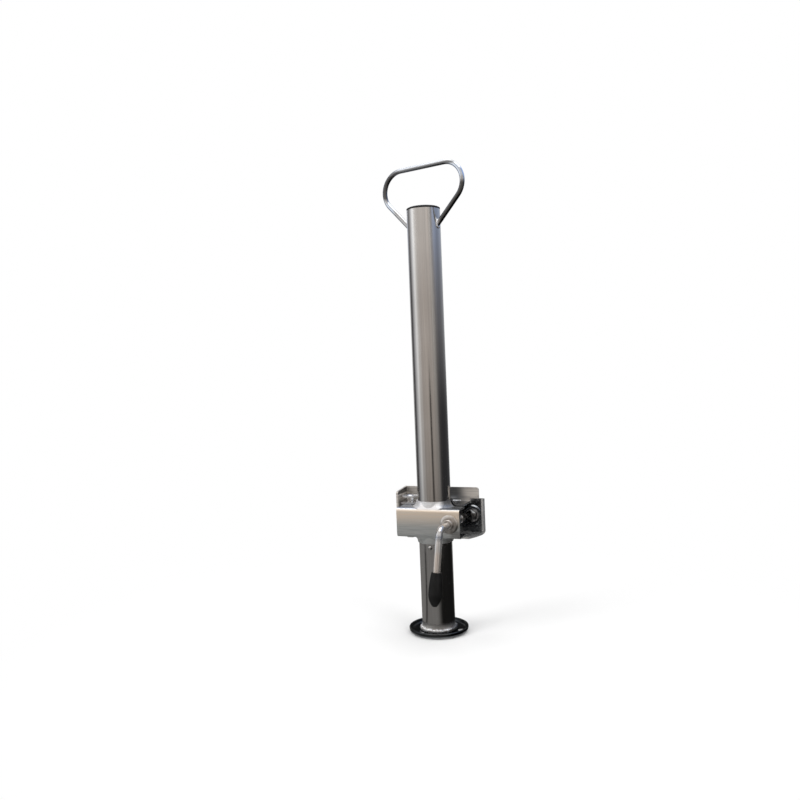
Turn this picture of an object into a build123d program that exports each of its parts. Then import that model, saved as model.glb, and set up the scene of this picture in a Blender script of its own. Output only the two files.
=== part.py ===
"""Trailer prop stand: a round steel prop with a foot and a carry handle, held in a hinged tube clamp."""
from build123d import *
import math
import os

# Prop tube
tube_diameter = 48.0
tube_wall = 2.5
stand_height = 608.0

# Plastic plug in the tube's top end
cap_flange = 1.8
cap_dome = 1.6
cap_dome_edge = 4.8
cap_skirt = 16.0
cap_wall = 2.0
cap_rib_reach = 0.6
cap_rib_count = 3
cap_rib_height = 2.0
cap_clearance = 0.1

# Dished foot plate
foot_diameter = 86.0
foot_sheet = 3.5
foot_rim_height = 8.0
foot_rim_radius = 4.8
foot_rim_edge = 1.2
foot_hole_diameter = 9.0
foot_hole_circle = 68.0
foot_hole_count = 3
foot_weld_leg = 5.0
foot_weld_waist = 1.8

# Carry handle of round bar, in an upright plane through the tube's axis
handle_bar = 7.0
handle_width = 138.5
handle_rise = 65.0
handle_corner = 29.0
handle_foot_drop = 22.5
handle_turn = -12.0
handle_weld_leg = 2.6

# Stop rivet in the front of the tube
stop_gap = 5.5
stop_head_diameter = 6.4
stop_head_rise = 2.8
stop_shank_diameter = 3.4

# Clamp shells
clamp_height = 161.9
shell_sheet = 3.0
shell_bend = 2.0
tube_clearance = 0.3
running_gap = 0.3
split_gap = 3.0
collar_rise = 9.0
collar_lip = 1.4
collar_flare = 6.0
collar_spread = 1.8
collar_waist_reach = 0.4
collar_waist_rise = 2.0
collar_slope = 70.0
collar_fade = 0.15
jaw_left = 48.8
jaw_right = 46.3
jaw_height = 42.0
jaw_web_clearance = 0.5
rear_depth = 32.0
rear_left_end = 53.0
rear_top_right = 45.0
wing_right = 66.0
wing_top_rise = 3.7
wing_lip = 8.0
wing_corner_run = 3.0
wing_corner_rise = 5.0
tongue_left = 35.0
tongue_corner = 52.5
tongue_reach = 5.5
tongue_bulge = 1.5
emboss_diameter = 30.0
emboss_rise = 1.6

# Back plate with its cheek
plate_sheet = 3.0
plate_left = 59.0
plate_band_right = 57.0
plate_right = 65.0
plate_band_rise = 19.2
plate_corner = 3.5
cheek_depth = 37.0
cheek_corner = 2.5
cheek_fall = 3.4

# Hinge pin at the left of the shells
hinge_x = -43.0
hinge_y = 13.0
hinge_pin_diameter = 8.0
hinge_clearance = 0.05
hinge_ear_radius = 8.0
hinge_washer_diameter = 24.0
hinge_washer_sheet = 1.8
hinge_sleeve_diameter = 12.0
hinge_sleeve_length = 6.8
hinge_head_diameter = 12.0
hinge_head_rise = 2.0
hinge_nut_flats = 13.0
hinge_nut_height = 2.6
hex_rounding = 0.97

# Spindle, clamp lever and grip
spindle_x = 31.2
bar_diameter = 10.0
thread_clearance = 0.06
spindle_hole_diameter = 13.0
bush_diameter = 14.0
bush_length = 15.0
edge_chamfer = 0.8
spindle_end_gap = 2.0
spring_wire = 1.4
spring_wire_sides = 6
spring_turns = 5.0
spring_clearance = 0.5
inner_washer_diameter = 22.0
inner_washer_sheet = 1.5
thrust_washer_diameter = 26.5
thrust_washer_rim = 1.2
thrust_washer_rise = 3.2
collar_ring_diameter = 15.4
collar_ring_length = 5.0
collar_ring_edge = 1.5
lever_reach = 67.5
lever_bend = 13.0
lever_drop = 56.8
lever_tilt = 8.0
lever_lean = 3.2
grip_length = 45.5
grip_neck_diameter = 14.2
grip_diameter = 19.2
grip_tip_diameter = 6.0
grip_belly_share = 0.62
grip_bore_depth = 30.0

# Mounting bolts through the rear shell and the back plate
bolt_left_x = -38.0
bolt_right_x = 48.0
bolt_lift = 3.5
bolt_diameter = 10.0
bolt_shank_diameter = 9.0
bolt_shank_past_plate = 1.0
bolt_hole_diameter = 11.0
bolt_head_flats = 16.0
bolt_head_height = 6.4
bolt_free_length = 25.0
bolt_washer_diameter = 19.0
bolt_washer_bore = 10.5
bolt_washer_sheet = 2.0

# Weld beads between the rear shell and the back plate
seam_x = 24.0
seam_length = 12.0
seam_leg = 2.2
seam_sink = 1.3

# How far a cut runs past the face it opens
overcut = 1.0

# Derived sizes shared by several pieces
tube_radius = tube_diameter / 2
bore_radius = tube_radius - tube_wall
clamp_bore = tube_radius + tube_clearance
jaw_top = clamp_height + jaw_height / 2
jaw_bottom = clamp_height - jaw_height / 2
jaw_front = -(tube_radius + jaw_web_clearance + shell_sheet)
jaw_inner = jaw_front + shell_sheet
jaw_back = -split_gap / 2
rear_top = jaw_top + running_gap + shell_sheet
rear_bottom = jaw_bottom - running_gap - shell_sheet
rear_front = split_gap / 2
rear_inner = rear_depth - shell_sheet
rear_rise = collar_rise + jaw_top - rear_top
wing_top = rear_top + wing_top_rise
plate_back = rear_depth + plate_sheet
collar_base = collar_flare + collar_spread
bolt_height = clamp_height + bolt_lift
spring_inner = bar_diameter / 2 + spring_clearance
thrust_front = jaw_front - thrust_washer_rise
ring_front = thrust_front - collar_ring_length
hinge_seat = rear_top + hinge_sleeve_length
hinge_head_seat = hinge_seat + hinge_washer_sheet
shell_fold = shell_bend + shell_sheet
stop_height = jaw_bottom - collar_rise - stop_gap
far_out = foot_diameter + stand_height


def block(x0, x1, y0, y1, z0, z1):
    """A box between two corners."""
    return Pos((x0 + x1) / 2, (y0 + y1) / 2, (z0 + z1) / 2) * Box(x1 - x0, y1 - y0, z1 - z0)


def post(radius, z0, z1, x=0, y=0):
    """An upright cylinder."""
    return Pos(x, y, (z0 + z1) / 2) * Cylinder(radius, z1 - z0)


def rod(radius, y0, y1, x, z):
    """A cylinder that lies along Y."""
    return Pos(x, (y0 + y1) / 2, z) * Rot(90, 0, 0) * Cylinder(radius, y1 - y0)


def turned(*outline):
    """A solid turned about Z from a closed outline of edges in the XZ plane."""
    return revolve(make_face(Curve() + list(outline)), Axis.Z)


def dome(radius, rise):
    """A round head with a flat base, standing on the XY plane."""
    ball = (radius**2 + rise**2) / (2 * rise)
    half = math.asin(radius / ball) / 2
    crown = (ball * math.sin(half), 0, ball * math.cos(half) - ball + rise)
    return turned(
        Line((0, 0, 0), (radius, 0, 0)),
        ThreePointArc((radius, 0, 0), crown, (0, 0, rise)),
        Line((0, 0, rise), (0, 0, 0)),
    )


def front_half(solid):
    """What lies between the jaw's front face and the split between the shells."""
    return solid & block(-far_out, far_out, jaw_front, jaw_back, 0, far_out)


def rear_half(solid):
    """What lies between the split and the rear shell's back face."""
    return solid & block(-far_out, far_out, rear_front, rear_depth, 0, far_out)


def make_prop_tube():
    """The round tube, open at the top, with a hole for the stop rivet."""
    tube = post(tube_radius, foot_sheet, stand_height) - post(bore_radius, foot_sheet, stand_height)
    tube -= rod(stop_shank_diameter / 2, -tube_radius - overcut, -bore_radius + overcut, 0, stop_height)
    rims = tube.edges().filter_by(GeomType.CIRCLE).group_by(Axis.Z)[-1]
    return chamfer(rims, tube_wall / 5)


def make_tube_cap():
    """A domed flange on a ribbed skirt that is pushed into the tube."""
    skirt_radius = bore_radius - cap_clearance - cap_rib_reach
    dome_top = stand_height + cap_flange + cap_dome
    dome_start = tube_radius - cap_dome_edge
    dome_radius = (cap_dome_edge**2 + cap_dome**2) / (2 * cap_dome)
    slope = math.asin(cap_dome_edge / dome_radius) / 2
    crown = turned(
        Line((0, 0, stand_height), (tube_radius, 0, stand_height)),
        Line((tube_radius, 0, stand_height), (tube_radius, 0, stand_height + cap_flange)),
        ThreePointArc(
            (tube_radius, 0, stand_height + cap_flange),
            (dome_start + dome_radius * math.sin(slope), 0, dome_top - dome_radius * (1 - math.cos(slope))),
            (dome_start, 0, dome_top),
        ),
        Line((dome_start, 0, dome_top), (0, 0, dome_top)),
        Line((0, 0, dome_top), (0, 0, stand_height)),
    )
    skirt = post(skirt_radius, stand_height - cap_skirt, stand_height)
    skirt -= post(skirt_radius - cap_wall, stand_height - cap_skirt, stand_height - cap_wall)
    rib_pitch = cap_skirt / (cap_rib_count + 1)
    for rib in range(cap_rib_count):
        rib_middle = stand_height - rib_pitch * (rib + 1)
        ring = Pos(0, 0, rib_middle) * Cone(skirt_radius, bore_radius - cap_clearance, cap_rib_height)
        skirt += ring - post(skirt_radius - cap_wall / 2, rib_middle - rib_pitch, rib_middle + rib_pitch)
    return crown + skirt


def make_foot_plate():
    """A pressed pan with a rounded rim that is turned up, and three holes."""
    outer = foot_diameter / 2
    inner = outer - foot_sheet
    inner_radius = foot_rim_radius - foot_sheet / 2
    pan = post(outer, 0, foot_rim_height)
    pan = fillet(pan.edges().group_by(Axis.Z)[0], foot_rim_radius)
    hollow = post(inner, foot_sheet, foot_rim_height + overcut)
    hollow = fillet(hollow.edges().group_by(Axis.Z)[0], inner_radius)
    pan -= hollow
    pan = fillet(pan.edges().group_by(Axis.Z)[-1], foot_rim_edge)
    for index in range(foot_hole_count):
        angle = math.radians(360 * index / foot_hole_count)
        x = foot_hole_circle / 2 * math.cos(angle)
        y = foot_hole_circle / 2 * math.sin(angle)
        pan -= post(foot_hole_diameter / 2, -overcut, foot_sheet + overcut, x, y)
    return pan


def make_foot_weld():
    """The bead round the foot of the tube, slightly hollow in section."""
    toe = tube_radius + foot_weld_leg
    crown = foot_sheet + foot_weld_leg
    waist = foot_weld_waist
    return turned(
        Line((tube_radius, 0, foot_sheet), (toe, 0, foot_sheet)),
        ThreePointArc(
            (toe, 0, foot_sheet), (tube_radius + waist, 0, foot_sheet + waist), (tube_radius, 0, crown)
        ),
        Line((tube_radius, 0, crown), (tube_radius, 0, foot_sheet)),
    )


def handle_arm():
    """Where the arm leaves the tube, where it meets the bend, and its way out."""
    bend_x = handle_width / 2 - handle_bar / 2 - handle_corner
    bend_z = stand_height + handle_rise - handle_bar / 2 - handle_corner
    foot_z = stand_height - handle_foot_drop
    reach = math.hypot(bend_x - tube_radius, bend_z - foot_z)
    slant = math.atan2(bend_x - tube_radius, bend_z - foot_z) + math.asin(handle_corner / reach)
    tangent_x = bend_x + handle_corner * math.cos(slant)
    tangent_z = bend_z - handle_corner * math.sin(slant)
    return (tube_radius, foot_z), (tangent_x, tangent_z), slant, (bend_x, bend_z)


def make_carry_handle():
    """One bent bar: two slanting arms, two round bends and a straight grip."""
    (foot_x, foot_z), (tangent_x, tangent_z), slant, (bend_x, bend_z) = handle_arm()
    inward = handle_bar
    start_x = foot_x - inward * math.sin(slant)
    start_z = foot_z - inward * math.cos(slant)
    middle = math.radians(45) - slant / 2
    middle_x = bend_x + handle_corner * math.cos(middle)
    middle_z = bend_z + handle_corner * math.sin(middle)
    top_z = bend_z + handle_corner
    path = Curve() + [
        Line((-start_x, 0, start_z), (-tangent_x, 0, tangent_z)),
        ThreePointArc((-tangent_x, 0, tangent_z), (-middle_x, 0, middle_z), (-bend_x, 0, top_z)),
        Line((-bend_x, 0, top_z), (bend_x, 0, top_z)),
        ThreePointArc((bend_x, 0, top_z), (middle_x, 0, middle_z), (tangent_x, 0, tangent_z)),
        Line((tangent_x, 0, tangent_z), (start_x, 0, start_z)),
    ]
    section = Plane(
        origin=(-start_x, 0, start_z), z_dir=(-math.sin(slant), 0, math.cos(slant))
    ) * Circle(handle_bar / 2)
    bar = sweep(section, path=path)
    bar -= post(tube_radius, bend_z - stand_height, stand_height)
    return Rot(0, 0, handle_turn) * bar


def make_handle_welds(handle):
    """A bead round each arm where it meets the tube."""
    (foot_x, foot_z), _, slant, _ = handle_arm()
    reach = handle_bar / 2 / math.tan(slant) + handle_weld_leg
    beads = Part()
    for side in (1, -1):
        arm = Plane(
            origin=(side * foot_x, 0, foot_z), z_dir=(side * math.sin(slant), 0, math.cos(slant))
        )
        beads += arm * Cone(handle_bar / 2 + handle_weld_leg, handle_bar / 2, 2 * reach)
    beads -= post(tube_radius, foot_z - 2 * reach, stand_height)
    return Rot(0, 0, handle_turn) * beads - handle


def make_stop_pin():
    """A round-headed rivet that stands out of the tube below the clamp."""
    radius = stop_head_diameter / 2
    head = Pos(0, -tube_radius, stop_height) * Rot(90, 0, 0) * dome(radius, stop_head_rise)
    seat = rod(radius, -tube_radius, -bore_radius, 0, stop_height)
    seat -= post(tube_radius, stop_height - radius, stop_height + radius)
    shank = rod(stop_shank_diameter / 2, -tube_radius - stop_head_rise / 2, -bore_radius, 0, stop_height)
    return head + seat + shank


def collar(bore, flange, sheet, rise):
    """A drawn collar whose flare runs out into a flange that lies below it."""
    toe = bore + collar_base
    top = flange + rise
    neck = flange - sheet + collar_flare
    turn = collar_flare * (1 - math.sqrt(0.5))
    return turned(
        ThreePointArc(
            (bore + collar_flare, 0, flange - sheet),
            (bore + turn, 0, flange - sheet + turn),
            (bore, 0, neck),
        ),
        Line((bore, 0, neck), (bore, 0, top)),
        Line((bore, 0, top), (bore + collar_lip, 0, top)),
        Bezier(
            (bore + collar_lip, 0, top),
            (bore + collar_lip + collar_waist_reach, 0, flange + collar_waist_rise),
            (toe, 0, flange),
        ),
        Line((toe, 0, flange), (toe, 0, flange - sheet)),
        Line((toe, 0, flange - sheet), (bore + collar_flare, 0, flange - sheet)),
    )


def pair_of_collars(top, bottom, rise):
    """The same collar drawn up from a top flange and down from a bottom flange."""
    upper = collar(clamp_bore, top, shell_sheet, rise)
    lower = mirror(collar(clamp_bore, -bottom, shell_sheet, rise), about=Plane.XY)
    return upper, lower


def collar_bore(flange, sheet, rise):
    """The room inside a collar, with its rounded lead-in and the bend below the flange."""
    low = flange - sheet
    under = low - shell_bend
    neck = low + collar_flare
    mouth = clamp_bore + collar_flare
    turn = collar_flare * (1 - math.sqrt(0.5))
    return turned(
        Line((0, 0, under), (mouth, 0, under)),
        Line((mouth, 0, under), (mouth, 0, low)),
        ThreePointArc((mouth, 0, low), (clamp_bore + turn, 0, low + turn), (clamp_bore, 0, neck)),
        Line((clamp_bore, 0, neck), (clamp_bore, 0, flange + rise)),
        Line((clamp_bore, 0, flange + rise), (0, 0, flange + rise)),
        Line((0, 0, flange + rise), (0, 0, under)),
    )


def pair_of_bores(top, bottom, rise, y0, y1):
    """The room inside both collars, kept clear of the web."""
    upper = collar_bore(top, shell_sheet, rise)
    lower = mirror(collar_bore(-bottom, shell_sheet, rise), about=Plane.XY)
    within = block(-far_out, far_out, y0, y1, 0, far_out)
    return (upper + lower) & within


def room_for_collars(face, top, bottom):
    """Where a shell's collars may lie, so that their flare runs down steeply into the rounded folds."""
    lean = math.radians(collar_slope)
    side = math.copysign(1, face)
    depth = shell_fold - collar_fade
    room = post(clamp_bore + collar_lip, 0, far_out)
    for level, up in ((top, 1), (bottom, -1)):
        y = face - side * (shell_fold - depth * math.sin(lean))
        z = level - up * (shell_fold - depth * math.cos(lean))
        low = z - up * shell_fold
        high = z + up * (shell_sheet + collar_rise + collar_base)
        low_y = y + side * shell_fold / math.tan(lean)
        high_y = y - side * abs(high - z) / math.tan(lean)
        ramp = Plane.YZ * Polyline((low_y, low), (high_y, high), (0, high), (0, low), close=True)
        room += extrude(make_face(ramp), far_out, both=True)
    return room


def make_front_jaw():
    """The front shell: a folded channel with half collars and two hinge ears."""
    outer = block(-jaw_left, jaw_right, jaw_front, jaw_back, jaw_bottom, jaw_top)
    outer = fillet(outer.edges().filter_by(Axis.X).group_by(Axis.Y)[0], shell_fold)
    inner = block(
        -jaw_left - overcut,
        jaw_right + overcut,
        jaw_inner,
        jaw_back + overcut,
        jaw_bottom + shell_sheet,
        jaw_top - shell_sheet,
    )
    inner = fillet(inner.edges().filter_by(Axis.X).group_by(Axis.Y)[0], shell_bend)
    ears = Part()
    for low in (jaw_bottom, jaw_top - shell_sheet):
        ears += post(hinge_ear_radius, low, low + shell_sheet, hinge_x, hinge_y)
        ears += block(
            -jaw_left,
            hinge_x + hinge_ear_radius,
            jaw_back - shell_sheet,
            hinge_y,
            low,
            low + shell_sheet,
        )
    jaw = outer - inner + ears
    room = room_for_collars(jaw_front, jaw_top, jaw_bottom)
    for half_collar in pair_of_collars(jaw_top, jaw_bottom, collar_rise):
        jaw += front_half(half_collar) & room
    jaw -= pair_of_bores(jaw_top, jaw_bottom, collar_rise, jaw_inner, hinge_y)
    pin_hole = hinge_pin_diameter / 2 + hinge_clearance
    jaw -= post(pin_hole, jaw_bottom - overcut, jaw_top + overcut, hinge_x, hinge_y)
    jaw -= rod(spindle_hole_diameter / 2, jaw_front - overcut, jaw_inner + overcut, spindle_x, clamp_height)
    return jaw


def tongue_edge():
    """The outline of the bottom flange's right end, from its front edge back to the bend."""
    back = rear_inner - shell_bend
    right = wing_right - wing_corner_run
    lean = math.atan2(right - tongue_corner, back + tongue_reach)
    middle = (
        (tongue_corner + right) / 2 + tongue_bulge * math.cos(lean),
        (back - tongue_reach) / 2 - tongue_bulge * math.sin(lean),
    )
    return ThreePointArc((tongue_corner, -tongue_reach), middle, (right, back))


def tongue():
    """The part of the rear shell's bottom flange that runs forward under the jaw."""
    back = rear_inner - shell_bend
    sides = Polyline(
        (wing_right - wing_corner_run, back),
        (tongue_left, back),
        (tongue_left, -tongue_reach),
        (tongue_corner, -tongue_reach),
    )
    face = make_face(Curve() + [sides, tongue_edge()])
    return Pos(0, 0, rear_bottom) * extrude(face, shell_sheet, dir=(0, 0, 1))


def beyond_tongue():
    """What is cut off the right end of the bottom flange."""
    back = rear_inner - shell_bend
    sides = Polyline(
        (wing_right - wing_corner_run, back),
        (far_out, back),
        (far_out, -far_out),
        (tongue_corner, -far_out),
        (tongue_corner, -tongue_reach),
    )
    outside = make_face(Curve() + [sides, tongue_edge()])
    return Pos(0, 0, rear_bottom - overcut) * extrude(outside, jaw_height / 2, dir=(0, 0, 1))


def beyond_corner():
    """What is cut off the lower right corner of the wing and of the plate behind it."""
    across = Polyline(
        (wing_right - wing_corner_run, rear_bottom - overcut),
        (wing_right - wing_corner_run, rear_bottom),
        (wing_right, rear_bottom + wing_corner_rise),
        (far_out, rear_bottom + wing_corner_rise),
        (far_out, rear_bottom - overcut),
        close=True,
    )
    cut = extrude(make_face(Plane.XZ * across), far_out, both=True)
    return cut & block(0, far_out, rear_inner - shell_bend, far_out, 0, far_out)


def emboss(x):
    """The raised seat round a mounting bolt, and the hollow behind it."""
    outer = emboss_diameter / 2
    middle = rear_inner - emboss_rise / 2
    lean = Pos(x, middle, bolt_height) * Rot(90, 0, 0)
    seat = lean * Cone(outer, outer - emboss_rise, emboss_rise)
    hollow = Pos(0, shell_sheet, 0) * lean * Cone(
        outer - shell_sheet / 2, outer - shell_sheet / 2 - emboss_rise, emboss_rise
    )
    return seat, hollow


def make_rear_shell():
    """The rear shell: web, top and bottom flanges, right-hand wing and half collars."""
    outer = block(-rear_left_end, wing_right, rear_front, rear_depth, rear_bottom, rear_top)
    outer = fillet(outer.edges().filter_by(Axis.X).group_by(Axis.Y)[-1], shell_fold)
    inner = block(
        -rear_left_end - overcut,
        wing_right + overcut,
        rear_front - overcut,
        rear_inner,
        rear_bottom + shell_sheet,
        rear_top - shell_sheet,
    )
    inner = fillet(inner.edges().filter_by(Axis.X).group_by(Axis.Y)[-1], shell_bend)
    middle = clamp_height
    shell = outer - inner
    shell -= block(
        rear_top_right,
        wing_right + overcut,
        rear_front - overcut,
        rear_depth + overcut,
        middle,
        rear_top + overcut,
    )
    shell -= beyond_tongue() + beyond_corner()
    shell += block(rear_top_right, wing_right, rear_inner, rear_depth, middle, wing_top)
    lip_bottom = rear_bottom + wing_corner_rise
    shell += block(
        wing_right - shell_sheet, wing_right, rear_depth - wing_lip, rear_inner, lip_bottom, wing_top
    )
    shell += tongue()
    room = room_for_collars(rear_depth, rear_top, rear_bottom)
    for half_collar in pair_of_collars(rear_top, rear_bottom, rear_rise):
        shell += rear_half(half_collar) & room
    shell -= pair_of_bores(rear_top, rear_bottom, rear_rise, 0, rear_inner)
    for x in (bolt_left_x, bolt_right_x):
        seat, hollow = emboss(x)
        shell = shell + seat - hollow
        shell -= rod(bolt_hole_diameter / 2, 0, rear_depth + overcut, x, bolt_height)
    shell -= rod(bush_diameter / 2, 0, rear_inner, spindle_x, clamp_height)
    shell -= post(hinge_pin_diameter / 2, rear_bottom - overcut, rear_top + overcut, hinge_x, hinge_y)
    return shell


def make_back_plate():
    """The flat plate behind the rear shell, with a raised band and a cheek folded forward."""
    band_top = rear_top + plate_band_rise
    plate = block(-plate_left, plate_band_right, rear_depth, plate_back, rear_bottom, band_top)
    plate += block(0, plate_right, rear_depth, plate_back, rear_bottom, rear_top)
    corner = plate.edges().filter_by(Axis.Y).group_by(Axis.Z)[-1].sort_by(Axis.X)[-1]
    plate = fillet(corner, plate_corner)
    cheek_front = plate_back - cheek_depth
    side = Polyline(
        (plate_back, rear_bottom),
        (cheek_front, rear_bottom),
        (cheek_front, band_top - cheek_fall),
        (plate_back, band_top),
        close=True,
    )
    cheek = Pos(-plate_left, 0, 0) * extrude(make_face(Plane.YZ * side), plate_sheet, dir=(1, 0, 0))
    nose = cheek.edges().filter_by(Axis.X).group_by(Axis.Y)[0]
    plate += fillet(nose, cheek_corner)
    fold = plate.edges().filter_by(Axis.Z).group_by(Axis.X)[0].sort_by(Axis.Y)[-1]
    plate = fillet(fold, plate_sheet) - beyond_corner()
    for x in (bolt_left_x, bolt_right_x):
        plate -= rod(bolt_hole_diameter / 2, rear_depth - overcut, plate_back + overcut, x, bolt_height)
    return plate


def make_shell_welds():
    """Short beads in the corner between the rear shell's bends and the back plate."""
    shell = block(-seam_x - seam_length, seam_x + seam_length, 0, rear_depth, rear_bottom, rear_top)
    shell = fillet(shell.edges().filter_by(Axis.X).group_by(Axis.Y)[-1], shell_fold)
    beads = Part()
    for z, inward in ((rear_top, -1), (rear_bottom, 1)):
        for x in (-seam_x, seam_x):
            place = Pos(x, rear_depth - seam_sink, z + inward * seam_sink)
            bead = place * Rot(0, 90, 0) * Cylinder(seam_leg, seam_length)
            bead &= block(x - seam_length, x + seam_length, 0, rear_depth, 0, stand_height)
            beads += bead - shell
    return beads


def hexagon(flats, y0, y1, x, z):
    """A hexagonal prism along Y with two flats facing sideways."""
    radius = flats / math.sqrt(3)
    face = Pos(x, y1, z) * Rot(90, 0, 0) * RegularPolygon(radius, 6, rotation=30)
    return extrude(face, y1 - y0)


def make_hinge_pin():
    """The hinge rivet: a domed head on top and a plain shank through both shells."""
    end = rear_bottom - hinge_washer_sheet - hinge_nut_height
    head = Pos(hinge_x, hinge_y, hinge_head_seat) * dome(hinge_head_diameter / 2, hinge_head_rise)
    return head + post(hinge_pin_diameter / 2, end, hinge_head_seat, hinge_x, hinge_y)


def make_hinge_sleeve():
    """The short tube that lifts the upper washer off the rear shell."""
    sleeve = post(hinge_sleeve_diameter / 2, rear_top, hinge_seat, hinge_x, hinge_y)
    return sleeve - post(hinge_pin_diameter / 2, 0, stand_height, hinge_x, hinge_y)


def make_hinge_washers():
    """One washer under the head and one over the nut."""
    washers = Part()
    for low in (hinge_seat, rear_bottom - hinge_washer_sheet):
        washers += post(hinge_washer_diameter / 2, low, low + hinge_washer_sheet, hinge_x, hinge_y)
    return washers - post(hinge_pin_diameter / 2, 0, stand_height, hinge_x, hinge_y)


def make_hinge_nut():
    """The thin nut at the lower end of the hinge pin."""
    top = rear_bottom - hinge_washer_sheet
    face = Pos(hinge_x, hinge_y, top - hinge_nut_height) * RegularPolygon(hinge_nut_flats / math.sqrt(3), 6)
    nut = extrude(face, hinge_nut_height)
    corners = hinge_nut_flats / math.sqrt(3) * hex_rounding
    nut &= post(corners, top - hinge_nut_height, top, hinge_x, hinge_y)
    return nut - post(hinge_pin_diameter / 2, 0, stand_height, hinge_x, hinge_y)


def make_spindle_bush():
    """The threaded bush on the rear shell's web that the spindle screws into."""
    bush = rod(bush_diameter / 2, rear_inner - bush_length, rear_inner, spindle_x, clamp_height)
    bush = chamfer(bush.edges().group_by(Axis.Y)[0], edge_chamfer)
    bore = rod(bar_diameter / 2 + thread_clearance, 0, rear_inner + overcut, spindle_x, clamp_height)
    return bush - bore


def make_spreader_spring():
    """The coil that pushes the jaw off the tube when the spindle is slackened."""
    front = jaw_inner + inner_washer_sheet + spring_wire / 2
    back = rear_inner - bush_length - spring_wire / 2
    length = back - front
    radius = spring_inner + spring_wire / 2
    coil = Helix(pitch=length / spring_turns, height=length, radius=radius)
    section = Plane(origin=coil @ 0, z_dir=coil % 0) * RegularPolygon(spring_wire / 2, spring_wire_sides)
    spring = sweep(section, path=coil, is_frenet=True)
    return Pos(spindle_x, back, clamp_height) * Rot(90, 0, 0) * spring


def ring_on_spindle(diameter, bore, y0, y1):
    """A flat ring round the spindle's axis."""
    outer = rod(diameter / 2, y0, y1, spindle_x, clamp_height)
    return outer - rod(bore / 2, y0 - overcut, y1 + overcut, spindle_x, clamp_height)


def make_inner_washer():
    """The washer behind the jaw's web, which carries the spring."""
    return ring_on_spindle(
        inner_washer_diameter, spindle_hole_diameter, jaw_inner, jaw_inner + inner_washer_sheet
    )


def make_thrust_washer():
    """The domed washer between the lever's collar and the jaw."""
    rim = thrust_washer_diameter / 2
    seat = collar_ring_diameter / 2
    width = rim - seat
    rise = thrust_washer_rise - thrust_washer_rim
    crown = (width**2 + rise**2) / (2 * rise)
    slope = math.asin(width / crown) / 2
    disc = turned(
        Line((0, 0, 0), (rim, 0, 0)),
        Line((rim, 0, 0), (rim, 0, thrust_washer_rim)),
        ThreePointArc(
            (rim, 0, thrust_washer_rim),
            (seat + crown * math.sin(slope), 0, thrust_washer_rise - crown * (1 - math.cos(slope))),
            (seat, 0, thrust_washer_rise),
        ),
        Line((seat, 0, thrust_washer_rise), (0, 0, thrust_washer_rise)),
        Line((0, 0, thrust_washer_rise), (0, 0, 0)),
    )
    placed = Pos(spindle_x, jaw_front, clamp_height) * Rot(90, 0, 0) * disc
    hole = bar_diameter / 2 + running_gap
    return placed - rod(hole, thrust_front - overcut, jaw_front + overcut, spindle_x, clamp_height)


def on_lever(shape):
    """Places a shape from the lever's own frame: spindle on Y, arm downwards."""
    return Pos(spindle_x, 0, clamp_height) * Rot(0, lever_lean, 0) * shape


def lever_tip():
    """The arm's outward and downward shares, and the corner of the bend."""
    tilt = math.radians(lever_tilt)
    return math.sin(tilt), math.cos(tilt), -lever_reach


def make_clamp_lever():
    """One bent bar: the spindle that lies in the bush, the bend and the arm."""
    out, down, corner_y = lever_tip()
    arm = lever_drop + grip_bore_depth
    path = FilletPolyline(
        (0, rear_inner - spindle_end_gap, 0),
        (0, corner_y, 0),
        (0, corner_y - out * arm, -down * arm),
        radius=lever_bend,
    )
    section = Plane(origin=path @ 0, z_dir=path % 0) * Circle(bar_diameter / 2)
    return on_lever(sweep(section, path=path))


def make_lever_collar():
    """The shoulder ring on the bar that presses on the thrust washer."""
    ring = ring_on_spindle(collar_ring_diameter, bar_diameter, ring_front, thrust_front)
    edge = ring.edges().filter_by(GeomType.CIRCLE).group_by(Axis.Y)[0].sort_by(SortBy.RADIUS)[-1]
    return fillet(edge, collar_ring_edge)


def swell(narrow, wide, length):
    """The radius of the arc that widens from narrow to wide over a length, and half its angle."""
    radius = ((wide - narrow) ** 2 + length**2) / (2 * (wide - narrow))
    return radius, math.asin(length / radius) / 2


def make_lever_grip(lever):
    """A drop-shaped plastic grip, pushed over the end of the bar."""
    out, down, corner_y = lever_tip()
    neck = grip_neck_diameter / 2
    belly = grip_diameter / 2
    tip = grip_tip_diameter / 2
    middle = grip_length * grip_belly_share
    upper, upper_half = swell(neck, belly, middle)
    lower, lower_half = swell(tip, belly, grip_length - middle)
    body = turned(
        Line((0, 0, 0), (neck, 0, 0)),
        ThreePointArc(
            (neck, 0, 0),
            (belly - upper * (1 - math.cos(upper_half)), 0, middle - upper * math.sin(upper_half)),
            (belly, 0, middle),
        ),
        ThreePointArc(
            (belly, 0, middle),
            (belly - lower * (1 - math.cos(lower_half)), 0, middle + lower * math.sin(lower_half)),
            (tip, 0, grip_length),
        ),
        Line((tip, 0, grip_length), (0, 0, grip_length)),
        Line((0, 0, grip_length), (0, 0, 0)),
    )
    body = fillet(body.edges().filter_by(GeomType.CIRCLE).group_by(Axis.Z)[-1], edge_chamfer)
    start = (0, corner_y - out * lever_drop, -down * lever_drop)
    placed = Plane(origin=start, z_dir=(0, -out, -down)) * body
    return on_lever(placed) - lever


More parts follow.
